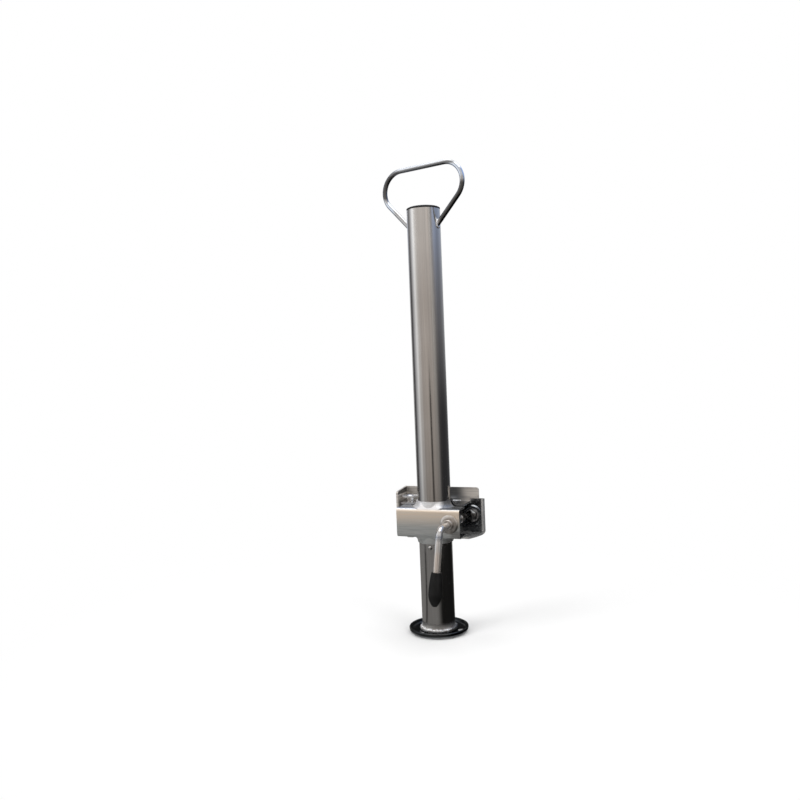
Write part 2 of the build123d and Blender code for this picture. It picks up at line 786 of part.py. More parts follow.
def make_mounting_bolts():
    """The two bolts that stand out behind the back plate."""
    head_seat = rear_inner - emboss_rise - bolt_washer_sheet
    bolts = Part()
    for x in (bolt_left_x, bolt_right_x):
        head = hexagon(bolt_head_flats, head_seat - bolt_head_height, head_seat, x, bolt_height)
        corners = bolt_head_flats / math.sqrt(3) * hex_rounding
        head &= rod(corners, head_seat - bolt_head_height, head_seat, x, bolt_height)
        thread_start = plate_back + bolt_shank_past_plate
        shank = rod(bolt_shank_diameter / 2, head_seat - overcut, thread_start, x, bolt_height)
        thread = rod(bolt_diameter / 2, thread_start, plate_back + bolt_free_length, x, bolt_height)
        thread = chamfer(thread.edges().filter_by(GeomType.CIRCLE).group_by(Axis.Y)[-1], edge_chamfer)
        bolts += head + shank + thread
    return bolts


def make_mounting_washers():
    """A flat washer under each mounting bolt's head."""
    back = rear_inner - emboss_rise
    washers = Part()
    for x in (bolt_left_x, bolt_right_x):
        disc = rod(bolt_washer_diameter / 2, back - bolt_washer_sheet, back, x, bolt_height)
        washers += disc - rod(bolt_washer_bore / 2, 0, back + overcut, x, bolt_height)
    return washers


def build_nodes():
    """Every piece by its name."""
    handle = make_carry_handle()
    lever = make_clamp_lever()
    return {
        "prop_tube": make_prop_tube(),
        "tube_cap": make_tube_cap(),
        "foot_plate": make_foot_plate(),
        "foot_weld": make_foot_weld(),
        "carry_handle": handle,
        "handle_welds": make_handle_welds(handle),
        "stop_pin": make_stop_pin(),
        "back_plate": make_back_plate(),
        "rear_shell": make_rear_shell(),
        "shell_welds": make_shell_welds(),
        "hinge_pin": make_hinge_pin(),
        "hinge_sleeve": make_hinge_sleeve(),
        "hinge_washers": make_hinge_washers(),
        "hinge_nut": make_hinge_nut(),
        "spindle_bush": make_spindle_bush(),
        "spreader_spring": make_spreader_spring(),
        "mounting_bolts": make_mounting_bolts(),
        "mounting_washers": make_mounting_washers(),
        "front_jaw": make_front_jaw(),
        "inner_washer": make_inner_washer(),
        "thrust_washer": make_thrust_washer(),
        "clamp_lever": lever,
        "lever_collar": make_lever_collar(),
        "lever_grip": make_lever_grip(lever),
    }


os.makedirs("parts", exist_ok=True)
for name, solid in build_nodes().items():
    export_step(solid, f"parts/{name}.step")
    print(name, round(solid.volume))
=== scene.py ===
"""Trailer prop stand: finishes, weld beads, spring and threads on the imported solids, in a plain studio."""

import math

import bmesh
import bpy
from mathutils import Matrix, Vector


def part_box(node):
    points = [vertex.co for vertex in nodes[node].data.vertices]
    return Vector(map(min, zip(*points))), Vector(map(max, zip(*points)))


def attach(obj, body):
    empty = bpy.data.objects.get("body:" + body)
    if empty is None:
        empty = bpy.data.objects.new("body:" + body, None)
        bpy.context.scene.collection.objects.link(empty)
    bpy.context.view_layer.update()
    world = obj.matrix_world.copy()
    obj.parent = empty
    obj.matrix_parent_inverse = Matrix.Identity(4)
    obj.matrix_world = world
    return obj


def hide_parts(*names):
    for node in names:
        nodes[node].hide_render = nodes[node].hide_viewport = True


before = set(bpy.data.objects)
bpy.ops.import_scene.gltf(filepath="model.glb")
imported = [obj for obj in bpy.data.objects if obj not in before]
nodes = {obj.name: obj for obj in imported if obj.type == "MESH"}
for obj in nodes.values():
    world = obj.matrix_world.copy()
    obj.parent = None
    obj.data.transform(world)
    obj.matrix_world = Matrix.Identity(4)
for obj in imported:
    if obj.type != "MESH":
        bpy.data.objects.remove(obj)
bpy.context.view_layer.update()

FULL_TURN = 2 * math.pi

# Camera, in metres and degrees
CAMERA_PLACE = (0.4016, -1.0605, 0.3804)
CAMERA_YAW = 22.957
CAMERA_PITCH = 2.149
CAMERA_ROLL = 2.263
FOCAL_PIXELS = 786.27
PICTURE_PIXELS = 800.0
SENSOR_MM = 36.0
VIEW_AZIMUTH = 20.74

# Studio, in metres
FLOOR_HALF = 9.0
FLOOR_FADE = (0.16, 0.62)
FLOOR_SHADE = 0.86
WALL_RADIUS = 0.75
WALL_FOOT = 0.001
WALL_HEIGHT = 1.7
CARD_HEIGHT = 0.0008
CARD_GAP = 0.004
RING_STEPS = 96
WORLD_FILL = 0.55
LIGHT_TARGET = (0.0, 0.0, 0.3)

# Soft boxes: name, place, width, height and power
SOFT_BOXES = (
    ("left_box", (-1.5, -1.5, 1.5), 1.2, 1.6, 26.0),
    ("right_box", (1.7, -0.9, 1.3), 1.0, 1.4, 12.0),
    ("top_box", (0.1, 0.3, 2.4), 2.2, 2.2, 30.0),
)

# Threads: sizes in metres, the ridge's run-out in turns and its section in pitches
SCREW_PITCH = 0.0015
THREAD_RADIUS = 0.005
THREAD_ROOT = 0.0042
THREAD_START = 0.001
THREAD_MARGIN = 0.0001
RIDGE_START_GAP = 0.0008
RIDGE_END_GAP = 0.0011
RIDGE_SUNK = 0.0001
RIDGE_STEPS = 36
RIDGE_RUN_OUT = 0.6
RIDGE_FOOT = 0.46
RIDGE_FLAT = 0.08
RIDGE_LEAST = 0.02
MERGE_DISTANCE = 0.000002
SHARP_DEGREES = 32.0

# Spring and handle, in metres and degrees
SPRING_TURNS = 5.0
SPRING_WIRE_RADIUS = 0.0007
HANDLE_TURN = -12.0
ARM_SLANT = 43.96
ARM_RADIUS = 0.0035
ARM_FOOT_DROP = 0.0225

# Weld beads: where they run, and the inputs of their drops
FOOT_BEAD_OUT = 0.0006
FOOT_BEAD_RISE = 0.0027
SEAM_INSET = 0.0022
SEAM_BACK_INSET = 0.0013
SEAM_X = 0.024
SEAM_HALF = 0.0055
FOOT_DROPS = {"Step": 0.0016, "Radius": 0.0029, "Drop Length": 0.002, "Uneven": 0.2}
ARM_DROPS = {"Step": 0.0009, "Radius": 0.0017, "Drop Length": 0.0012}
SEAM_DROPS = {"Radius": 0.0021, "Drop Length": 0.0013}

# Sizes read from the solids
TUBE_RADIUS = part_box("prop_tube")[1].x
STAND_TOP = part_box("prop_tube")[1].z
FOOT_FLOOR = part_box("prop_tube")[0].z
FOOT_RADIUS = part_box("foot_plate")[1].x
CLAMP_Z = (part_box("front_jaw")[0].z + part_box("front_jaw")[1].z) / 2
SPINDLE_X = (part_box("inner_washer")[0].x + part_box("inner_washer")[1].x) / 2
HANDLE_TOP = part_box("carry_handle")[1].z
SPRING_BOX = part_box("spreader_spring")
SEAM_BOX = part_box("shell_welds")
BOLT_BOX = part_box("mounting_bolts")
PLATE_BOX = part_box("back_plate")

# Marks on the finishes, here and below, are in metres, and a pair is the start and the end of a soft edge.
# On the foot, the welds and the tube, with the count of the holes and the direction of the weld's side with
# painted shade
FOOT_HOLES = 3
FOOT_HOLE_OUT = 0.034
FOOT_HOLE_HIGHLIGHT = (0.0046, 0.0056)
FOOT_RIM_RISE = (0.0022, 0.0048)
FOOT_RIM_OUT = (0.035, 0.038)
WELD_HEAT = (0.012, 0.022)
WELD_SHADE_TOWARDS = (0.92, 0.39)
WELD_SHADE_OUT = (0.017, 0.024)
WELD_SHADE_RISE = (0.012, 0.014)
CLAMP_RUB = (0.03, 0.11)

# The clamp's hollow, whose inside faces get painted shade: half its height, then depths, and where its
# right-hand wing lies across
JAW_HOLLOW_HALF = 0.0195
SHELL_HOLLOW_HALF = 0.0208
HOLLOW_SOFT = 0.0003
HOLLOW_FRONT = (-0.0262, -0.0258)
HOLLOW_BACK = (0.0303, 0.0307)
WING_START = (0.0455, 0.047)
WING_END = (0.0625, 0.063)

# On the jaw's panel and the shell's upper flange, where light and shade are painted. A rise counts from the
# clamp's middle height.
PANEL_LIT_RISE = (-0.007, 0.018)
PANEL_FOLD = (0.0192, 0.0206)
FOLD_HALF_WIDTH = 0.0022
COLLAR_OUT = (0.0295, 0.033)
LOWER_RIGHT_ACROSS = (0.029, 0.037)
LOWER_RIGHT_RISE = (-0.013, -0.006)
UNDER_COLLAR_ACROSS = (0.016, 0.024)
UNDER_COLLAR_RISE = (-0.025, -0.021)
PANEL_SHADE_ACROSS = (0.015, 0.023)
FLANGE_SHADE_RIGHT_START = (0.018, 0.024)
FLANGE_SHADE_RIGHT_END = (0.044, 0.047)
FLANGE_SHADE_LEFT = (-0.028, -0.02)
FLANGE_RISE = (0.0195, 0.0205)
FLANGE_BACK = (0.028, 0.031)

# Shade is painted on the back plate beside the tube and on the inner face of its left cheek.
# On the back plate: its sheet's thickness, then across from the tube's axis, back from the plate's rear
# face, off its left cheek, back from the sheet's front face and up from the top edge
PLATE_SHEET = 0.003
PLATE_SHADE_START = (0.0, 0.01)
PLATE_SHADE_END = (0.024, 0.046)
PLATE_SHADE_BACK = (-0.002, -0.001)
CHEEK_OFF_FACE = (0.0001, 0.0003)
CHEEK_END = (-0.0004, -0.0001)
CHEEK_SHADE_RISE = (-0.0085, -0.0065)

# On the handle, where reflections and shade are painted: across from the tube's axis and down from the
# handle's top
CREST_DOWN = (0.0012, 0.0028)
UNDERSIDE_START = (0.0028, 0.0042)
UNDERSIDE_END = (0.0065, 0.0085)
RIGHT_ARM_ACROSS = (0.022, 0.03)
RIGHT_ARM_DOWN = (0.034, 0.042)
LEFT_BEND_ACROSS = (-0.042, -0.03)
LEFT_BEND_START = (0.004, 0.01)
LEFT_BEND_END = (0.044, 0.05)
LOWER_BEND_ACROSS = (-0.052, -0.045)
UPPER_BEND_ACROSS = (0.036, 0.044)
UPPER_BEND_START = (0.006, 0.012)
UPPER_BEND_END = (0.024, 0.03)

# On the lever, by rise from the clamp's middle height and by depth, and the pitch of the turned rings
SCREW_START = (-0.023, -0.021)
SHOULDER_RISE = (-0.006, -0.002)
LEVER_BEND_RISE = -0.0085
LEVER_BEND_HALF = 0.0075
LEVER_SAND_RISE = (-0.034, -0.024)
LEVER_DULL_DEPTH = (-0.04, -0.035)
RING_PITCH = 0.00045

# Marks on the reflection wall and the floor card. Lows, highs and tops are heights in metres. The rest are
# shares of a turn, counted as in WALL_COLOURS: soft edges, or a stripe's centre and half width. A glint has
# its strength before them.
WALL_LOW = (-0.15, 0.42)
WALL_HIGH = (0.42, 0.95)
WALL_RIGHT = ((0.61, 0.68), (0.88, 0.97))
WALL_RIGHT_LOW = (0.25, 0.52)
WALL_FRONT = ((0.3, 0.36), (0.52, 0.57))
WALL_BACK_LEFT = (0.08, 0.14)
LEFT_STRIPE = (0.139, 0.05)
FRONT_STRIPE = (0.5, 0.028)
FRONT_STRIPE_TOP = (0.28, 0.44)
BEHIND_STRIPES = ((0.0, 0.07), (1.0, 0.09))
BEHIND_TOP = (0.34, 0.44)
GLINTS = ((0.5, 0.556, 0.03), (0.5, 0.7, 0.05), (-0.5, 0.635, 0.03))
CARD_RIGHT = ((0.475, 0.58), (0.86, 0.95))
CARD_STRIPE = (0.278, 0.028)

# Colours that are more than a warm or cool grey
# Of these, the panel's pair is painted light and shade, the fold's and collar's are painted highlights, and
# the flange's blue, the handle's light grey and blue and the lever's blue are painted reflections.
PANEL_SHADED = (0.35, 0.365, 0.36, 1.0)
PANEL_LIT = (0.79, 0.66, 0.525, 1.0)
FOLD_HIGHLIGHT = (0.95, 0.9, 0.83, 1.0)
COLLAR_HIGHLIGHT = (0.96, 0.96, 0.98, 1.0)
FLANGE_SKY_REFLECTION = (0.44, 0.49, 0.57, 1.0)
ROLLED_DARK = (0.5, 0.47, 0.44, 1.0)
ROLLED_LIGHT = (0.86, 0.81, 0.75, 1.0)
HANDLE_REFLECTION_LIGHT = (0.64, 0.66, 0.7, 1.0)
HANDLE_SKY_REFLECTION = (0.75, 0.85, 1.0, 1.0)
LEVER_BEND_REFLECTION = (0.22, 0.26, 0.33, 1.0)
LEVER_SAND = (0.86, 0.79, 0.73, 1.0)
WALL_FRONT_GREY = (0.60, 0.59, 0.58, 1.0)
WALL_NIGHT_BLUE = (0.14, 0.19, 0.30, 1.0)
WALL_SKY_BLUE = (0.40, 0.48, 0.66, 1.0)

# Colours round the wall by share of a turn: 0 behind the stand, 0.25 left, 0.5 in front and 0.75 right
WALL_COLOURS = (
    (0.00, (0.52, 0.52, 0.53)),
    (0.10, (0.46, 0.46, 0.46)),
    (0.15, (0.19, 0.19, 0.20)),
    (0.19, (0.30, 0.30, 0.31)),
    (0.235, (0.70, 0.71, 0.73)),
    (0.275, (1.06, 1.07, 1.08)),
    (0.315, (0.62, 0.60, 0.58)),
    (0.36, (0.50, 0.46, 0.43)),
    (0.46, (0.52, 0.47, 0.43)),
    (0.56, (0.46, 0.42, 0.39)),
    (0.61, (0.38, 0.36, 0.34)),
    (0.66, (0.20, 0.19, 0.19)),
    (0.72, (0.14, 0.14, 0.15)),
    (0.80, (0.17, 0.17, 0.18)),
    (0.88, (0.30, 0.31, 0.33)),
    (1.00, (0.52, 0.52, 0.53)),
)


class Wire:
    """A shader socket that takes part in Python arithmetic."""

    def __init__(self, paint, socket):
        self.paint = paint
        self.socket = socket

    def _math(self, operation, first, second=0.0, clamp=False):
        inputs = {0: first, 1: second}
        return self.paint.node("ShaderNodeMath", inputs, operation=operation, use_clamp=clamp)

    def __add__(self, other):
        return self._math("ADD", self, other)

    __radd__ = __add__

    def __sub__(self, other):
        return self._math("SUBTRACT", self, other)

    def __rsub__(self, other):
        return self._math("SUBTRACT", other, self)

    def __mul__(self, other):
        return self._math("MULTIPLY", self, other)

    __rmul__ = __mul__

    def __truediv__(self, other):
        return self._math("DIVIDE", self, other)

    def __rtruediv__(self, other):
        return self._math("DIVIDE", other, self)

    def __pow__(self, other):
        return self._math("POWER", self, other)

    def at_least(self, other):
        return self._math("MAXIMUM", self, other)

    def clamped(self):
        return self._math("ADD", self, 0.0, clamp=True)

    def size(self):
        return self._math("ABSOLUTE", self)

    def sine(self):
        return self._math("SINE", self)

    def fraction(self):
        return self._math("FRACT", self)

    def angle_from(self, other):
        return self._math("ARCTAN2", self, other)

    def band(self, centre, half):
        """1 at the centre, running down to 0 at half a band's width on each side."""
        return (1.0 - (self - centre).size() / half).clamped()

    def step(self, low, high):
        """0 below low, 1 above high, smooth between."""
        return self.paint.node(
            "ShaderNodeMapRange",
            {"Value": self, "From Min": low, "From Max": high},
            interpolation_type="SMOOTHSTEP",
        )

    def below(self, low, high):
        """1 below low, 0 above high, smooth between."""
        return 1.0 - self.step(low, high)

    def span(self, rise, fall):
        """1 between two soft edges and 0 outside them, where an edge is its start and its end."""
        return self.step(*rise) * self.below(*fall)

    def contrast(self, reach=0.14):
        """Noise spread out, so that what lies within this reach of its middle fills 0 to 1."""
        return self.step(0.5 - reach, 0.5 + reach)


class Paint:
    """The nodes of one material or of the world. node() is the only place that makes them."""

    OUTPUTS = {"materials": "ShaderNodeOutputMaterial", "worlds": "ShaderNodeOutputWorld"}

    def __init__(self, name, kind="materials"):
        self.owner = getattr(bpy.data, kind).new(name)
        self.owner.use_nodes = True
        self.tree = self.owner.node_tree
        self.tree.nodes.clear()
        self.output = self.OUTPUTS[kind]

    def node(self, kind, inputs=None, out=0, stops=None, **settings):
        """Makes a node: first its settings, then the values and links of its sockets."""
        made = self.tree.nodes.new(kind)
        for name, value in settings.items():
            setattr(made, name, value)
        if stops:
            self._fill_ramp(made.color_ramp, stops)
        for key, value in (inputs or {}).items():
            if isinstance(value, Wire):
                self.tree.links.new(value.socket, made.inputs[key])
            else:
                made.inputs[key].default_value = value
        return Wire(self, made.outputs[out]) if made.outputs else None

    @staticmethod
    def _fill_ramp(ramp, stops):
        while len(ramp.elements) > 1:
            ramp.elements.remove(ramp.elements[-1])
        ramp.elements[0].position = stops[0][0]
        ramp.elements[0].color = (*stops[0][1], 1.0)
        for position, colour in stops[1:]:
            ramp.elements.new(position).color = (*colour, 1.0)

    def place(self):
        """The object's own coordinates, split into x, y and z."""
        coordinates = self.node("ShaderNodeTexCoord", out="Object")
        split = self.node("ShaderNodeSeparateXYZ", {0: coordinates}).socket.node
        return [Wire(self, output) for output in split.outputs]

    def noise(self, per_metre, detail=3.0, roughness=0.5, stretch=(1.0, 1.0, 1.0), shift=0.0):
        """Even noise from 0 to 1, with its cells drawn out along an axis by a small stretch value."""
        coordinates = self.node("ShaderNodeTexCoord", out="Object")
        moved = self.node(
            "ShaderNodeMapping",
            {"Vector": coordinates, "Location": (shift, shift, shift), "Scale": stretch},
        )
        values = {"Vector": moved, "Scale": per_metre, "Detail": detail, "Roughness": roughness}
        return self.node("ShaderNodeTexNoise", values, out="Fac")

    def blend(self, mask, low, high):
        """A colour between two colours."""
        values = {0: mask, 6: low, 7: high}
        return self.node("ShaderNodeMix", values, out=2, data_type="RGBA")

    def coats(self, colour, *coats):
        """A colour with coats laid over it, each a mask and a colour."""
        for mask, coat in coats:
            colour = self.blend(mask, colour, coat)
        return colour

    def bump(self, height, depth, strength=1.0, normal=None):
        """The normal that a height in metres gives, on top of another normal if there is one."""
        values = {"Height": height, "Distance": depth, "Strength": strength}
        if normal:
            values["Normal"] = normal
        return self.node("ShaderNodeBump", values)

    def surface(self, shader):
        """Joins a shader to the output, and gives the finished material or world."""
        self.node(self.output, {"Surface": shader})
        return self.owner

    def glow(self, colour, level):
        """An emission whose level varies, taken into its colour."""
        lit = self.node("ShaderNodeVectorMath", {0: colour, "Scale": level}, operation="SCALE")
        return self.surface(self.node("ShaderNodeEmission", {"Color": lit}))

    def principled(self, **values):
        """A principled surface. An underscore in a socket's name stands for a space."""
        inputs = {name.replace("_", " "): value for name, value in values.items()}
        return self.surface(self.node("ShaderNodeBsdfPrincipled", inputs))


def grey(value, warmth=0.0):
    """A neutral colour, warmer above 0 and cooler below."""
    return (value * (1 + warmth), value, value * (1 - warmth), 1.0)


def distance(across, along):
    """How far a point lies from an axis, from its two offsets."""
    return (across**2.0 + along**2.0) ** 0.5


def drawn_tube():
    """Bright zinc on a drawn tube: fine lengthwise lines, faint runs and the rub marks of the clamp."""
    paint = Paint("zinc_tube")
    _, _, z = paint.place()
    fine = paint.noise(900.0, 4.0, 0.6, stretch=(1.0, 1.0, 0.006))
    broad = paint.noise(90.0, stretch=(1.0, 1.0, 0.02), shift=3.0)
    clouds = paint.noise(22.0, 4.0, 0.55, stretch=(1.0, 1.0, 0.5), shift=7.0)
    specks = paint.noise(1400.0, 2.0, shift=2.0).step(0.70, 0.78)
    rub_lines = paint.noise(1500.0, 2.0, 0.7, stretch=(1.0, 1.0, 0.012), shift=5.0).step(0.56, 0.70)
    rubbed = rub_lines * (z - CLAMP_Z).size().below(*CLAMP_RUB)
    heated = (z + 0.004 * clouds).below(*WELD_HEAT)
    tone = (0.35 * fine + 0.35 * broad + 0.3 * clouds).contrast()
    colour = paint.coats(
        paint.blend(tone, grey(0.53, 0.035), grey(0.66, 0.02)),
        (0.5 * rubbed, grey(0.74)),
        (0.25 * specks, grey(0.4, 0.03)),
    )
    rough = 0.09 + 0.06 * clouds + 0.04 * fine + 0.12 * rubbed + 0.1 * specks + 0.4 * heated
    normal = paint.bump(clouds, 0.0003, 0.12, paint.bump(fine, 0.00002, 0.35))
    return paint.principled(Base_Color=colour, Metallic=1.0, Roughness=rough, Normal=normal)


def plate_grain(paint, grain):
    """The clouds, skin and fine grain that plated and blackened pieces share, and the normal they give."""
    clouds = paint.noise(38.0, 4.0, 0.55, shift=1.0)
    skin = paint.noise(grain, 3.0, 0.6, shift=4.0)
    fine = paint.noise(2400.0, 2.0, 0.6, shift=9.0)
    normal = paint.bump(fine, 0.00003, 0.3, paint.bump(skin, 0.00012, 0.25))
    return clouds, skin, fine, normal


def clamp_hollow_shade(paint, half_height):
    """1 on the faces inside the clamp, where painted shade darkens the zinc."""
    x, y, z = paint.place()
    rise = z - CLAMP_Z
    between = rise.size().below(half_height - HOLLOW_SOFT, half_height + HOLLOW_SOFT)
    wing = x.step(*WING_START) * rise.step(HOLLOW_SOFT - half_height, 2 * HOLLOW_SOFT - half_height)
    return between.at_least(wing) * x.below(*WING_END) * y.span(HOLLOW_FRONT, HOLLOW_BACK)


def flange_shade(paint, clouds):
    """1 where shade is painted on the shell's upper flange to the right of the tube, with an uneven edge,
    and less on the left.
    """
    x, y, z = paint.place()
    ragged = x + 0.006 * clouds
    right = ragged.step(*FLANGE_SHADE_RIGHT_START) * x.below(*FLANGE_SHADE_RIGHT_END)
    left = 0.4 * ragged.below(*FLANGE_SHADE_LEFT)
    return right.at_least(left) * (z - CLAMP_Z).step(*FLANGE_RISE) * y.below(*FLANGE_BACK)


def plated_metal(name, light, dark, rough, grain=500.0, warmth=0.0, metal=1.0, hollow_half=None):
    """Zinc plate over pressed or turned steel, with soft clouds, a fine grain and small nicks."""
    paint = Paint(name)
    clouds, skin, fine, normal = plate_grain(paint, grain)
    nicks = paint.noise(820.0, 2.0, shift=6.0).step(0.69, 0.76)
    tone = (0.55 * clouds + 0.45 * skin).contrast()
    colour = paint.coats(
        paint.blend(tone, grey(dark, warmth), grey(light, warmth * 0.4)),
        (0.35 * nicks, grey(dark * 0.7, warmth)),
    )
    # Painted shade inside the clamp and on the shell's upper flange: darker zinc that is fully metallic
    # there.
    if hollow_half:
        painted_shade = clamp_hollow_shade(paint, hollow_half) * (0.8 + 0.2 * skin.contrast(0.1))
        painted_shade = painted_shade.at_least(0.85 * flange_shade(paint, clouds))
        colour = paint.blend(painted_shade, colour, grey(dark * 0.3, -0.08))
        metal = metal + (1.0 - metal) * painted_shade
    roughness = rough + 0.10 * (clouds - 0.5) + 0.06 * (fine - 0.5) + 0.12 * nicks
    return paint.principled(Base_Color=colour, Metallic=metal, Roughness=roughness, Normal=normal)


def rolled_plate():
    """The back plate: zinc sheet with the rolling mill's lines along it, with painted shade beside the tube
    and on its left cheek.
    """
    paint = Paint("zinc_plate")
    x, y, z = paint.place()
    lines = paint.noise(700.0, 4.0, 0.65, stretch=(0.015, 0.015, 1.0), shift=3.0)
    clouds = paint.noise(42.0, 4.0, 0.55, stretch=(0.5, 0.5, 1.0), shift=6.0)
    specks = paint.noise(900.0, 2.0, shift=8.0).step(0.68, 0.76)
    back = y - PLATE_BOX[1].y
    # Painted shade beside the tube, and on the upper part of the left cheek's inner face.
    beside_tube = x.step(*PLATE_SHADE_START) * (x + 0.004 * lines).below(*PLATE_SHADE_END)
    tube_side_shade = beside_tube * back.below(*PLATE_SHADE_BACK)
    cheek_face = (x - PLATE_BOX[0].x - PLATE_SHEET).size().below(*CHEEK_OFF_FACE)
    cheek_face = cheek_face * (back + PLATE_SHEET).below(*CHEEK_END)
    cheek_shade = cheek_face * (z - PLATE_BOX[1].z + 0.001 * clouds).step(*CHEEK_SHADE_RISE)
    colour = paint.coats(
        paint.blend((0.6 * lines + 0.4 * clouds).contrast(0.12), ROLLED_DARK, ROLLED_LIGHT),
        (0.4 * specks, grey(0.4, 0.03)),
        (0.85 * tube_side_shade, grey(0.1, -0.05)),
        (0.9 * cheek_shade, grey(0.05)),
    )
    rough = 0.24 + 0.1 * lines + 0.08 * clouds + 0.1 * specks
    normal = paint.bump(lines, 0.00003, 0.4, paint.bump(clouds, 0.0004, 0.12))
    return paint.principled(Base_Color=colour, Metallic=0.62, Roughness=rough, Normal=normal)


def foot_painted_dark():
    """The foot plate: a glossy plate painted dark for the dark surroundings it reflects, with painted
    highlights round the holes and a painted reflection of the bright floor along the rim's lower edge.
    """
    paint = Paint("dark_foot")
    x, y, z = paint.place()
    clouds, skin, fine, normal = plate_grain(paint, 260.0)
    scratches = paint.noise(900.0, 2.0, 0.6, stretch=(1.0, 0.12, 1.0), shift=2.0).step(0.64, 0.72)
    out = distance(x, y)
    sector = FULL_TURN / FOOT_HOLES
    turn = ((y.angle_from(x) / sector + 0.5).fraction() - 0.5) * sector
    from_hole = distance(out - FOOT_HOLE_OUT, turn * FOOT_HOLE_OUT)
    # Painted highlight round each hole, and painted reflection along the rim's lower edge.
    hole_highlight = (from_hole + 0.0007 * skin).below(*FOOT_HOLE_HIGHLIGHT)
    rim_reflection = (z + 0.003 * skin).below(*FOOT_RIM_RISE) * out.step(*FOOT_RIM_OUT)
    colour = paint.coats(
        paint.blend((0.55 * clouds + 0.45 * skin).contrast(), grey(0.05, -0.06), grey(0.11, -0.04)),
        (0.3 * scratches, grey(0.3)),
        ((0.5 * rim_reflection).at_least(hole_highlight), grey(0.85)),
    )
    rough = 0.15 + 0.1 * (clouds - 0.5) + 0.06 * (fine - 0.5) + 0.2 * rim_reflection.at_least(hole_highlight)
    return paint.principled(Base_Color=colour, Metallic=1.0 - 0.4 * hole_highlight, Roughness=rough, Normal=normal)


def brushed_panel():
    """The front jaw's satin sheet: brushed along the panel, with painted shade that makes it duller and
    cooler towards its lower edge, and painted highlights, reflections and shade in places.
    """
    paint = Paint("jaw_sheet")
    x, y, z = paint.place()
    rise = z - CLAMP_Z
    lines = paint.noise(1300.0, 4.0, 0.65, stretch=(0.02, 1.0, 1.0), shift=2.0)
    clouds = paint.noise(34.0, 4.0, 0.55, stretch=(0.6, 1.0, 1.0), shift=5.0)
    specks = paint.noise(1100.0, 2.0, shift=8.0).step(0.68, 0.76)
    # Painted light: the panel's upper part lit and its lower part shaded.
    bright = (rise + 0.004 * clouds).step(*PANEL_LIT_RISE)
    # Painted highlight along the panel's top fold.
    fold_highlight = rise.band(JAW_HOLLOW_HALF, FOLD_HALF_WIDTH)
    above = rise.step(*PANEL_FOLD)
    # Painted highlight: the collar's top painted near white, as sky light catches it.
    collar = distance(x, y).below(*COLLAR_OUT)
    # Painted reflection: the jaw's top flange painted blue-grey like the sky it mirrors.
    flange = above * (1.0 - collar)
    # Painted shadow of the lever at the panel's lower right, and painted shade under the collar.
    lower_right_shadow = x.step(*LOWER_RIGHT_ACROSS) * rise.below(*LOWER_RIGHT_RISE)
    under_collar_shade = x.step(*UNDER_COLLAR_ACROSS) * rise.below(*UNDER_COLLAR_RISE)
    # Painted shade on the jaw's top to the right of the tube.
    painted_shade = (x + 0.004 * clouds).step(*PANEL_SHADE_ACROSS)
    # Painted shade on the faces inside the clamp.
    hollow = clamp_hollow_shade(paint, JAW_HOLLOW_HALF)
    colour = paint.coats(
        paint.blend(bright, PANEL_SHADED, PANEL_LIT),
        (fold_highlight, FOLD_HIGHLIGHT),
        (0.75 * lower_right_shadow.at_least(under_collar_shade), grey(0.1, 0.04)),
        (above * collar, COLLAR_HIGHLIGHT),
        (flange, FLANGE_SKY_REFLECTION),
        (0.9 * above * painted_shade, grey(0.07, -0.08)),
        (0.35 * lines.contrast(), grey(0.62, 0.03)),
        (0.4 * specks, grey(0.42, 0.03)),
        (hollow, grey(0.12, -0.05)),
    )
    metal = 0.68 + 0.32 * hollow + 0.12 * flange
    rough = 0.27 + 0.08 * lines + 0.06 * clouds + 0.1 * specks - 0.12 * flange
    normal = paint.bump(clouds, 0.0005, 0.1, paint.bump(lines, 0.00003, 0.35))
    return paint.principled(Base_Color=colour, Metallic=metal, Roughness=rough, Normal=normal)


def turned_rings():
    """Washers, bush and shoulder: plated steel with fine rings round the spindle's axis."""
    paint = Paint("turned_zinc")
    x, _, z = paint.place()
    out = distance(x - SPINDLE_X, z - CLAMP_Z)
    rings = (out * FULL_TURN / RING_PITCH).sine() * 0.5 + 0.5
    clouds = paint.noise(120.0, shift=1.5)
    colour = paint.blend(clouds.contrast(), grey(0.46, 0.07), grey(0.62, 0.05))
    rough = 0.24 + 0.08 * clouds + 0.04 * rings
    normal = paint.bump(rings, 0.00001, 0.25)
    return paint.principled(Base_Color=colour, Metallic=1.0, Roughness=rough, Normal=normal)


